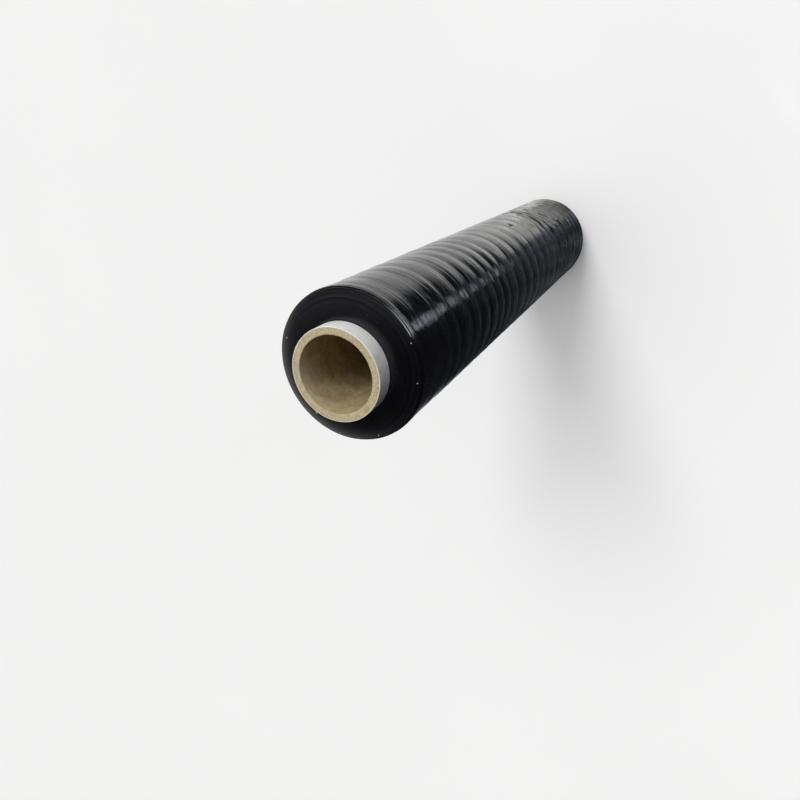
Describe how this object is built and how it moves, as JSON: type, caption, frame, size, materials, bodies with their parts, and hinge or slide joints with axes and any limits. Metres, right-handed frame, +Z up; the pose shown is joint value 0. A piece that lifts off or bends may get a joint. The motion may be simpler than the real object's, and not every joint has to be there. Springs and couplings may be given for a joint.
{
  "type": "stretch wrap roll",
  "caption": "Black stretch film wound on a paperboard core tube that runs out a little at both ends, standing on one end of the core.",
  "frame": {"origin": "centre of the core's lower end, on the surface the roll stands on", "axes": "+Z up along the core's axis, out of its upper end; the roll is round about Z, so X and Y are free"},
  "size_m": [0.0999, 0.1, 0.525],
  "materials": {
    "core_board": "matte",
    "white_ply": "matte",
    "black_film": "gloss"
  },
  "bodies": {
    "root": {"core_tube": "core_board", "core_outer_ply": "white_ply", "film_winding": "black_film"}
  },
  "joints": []
}
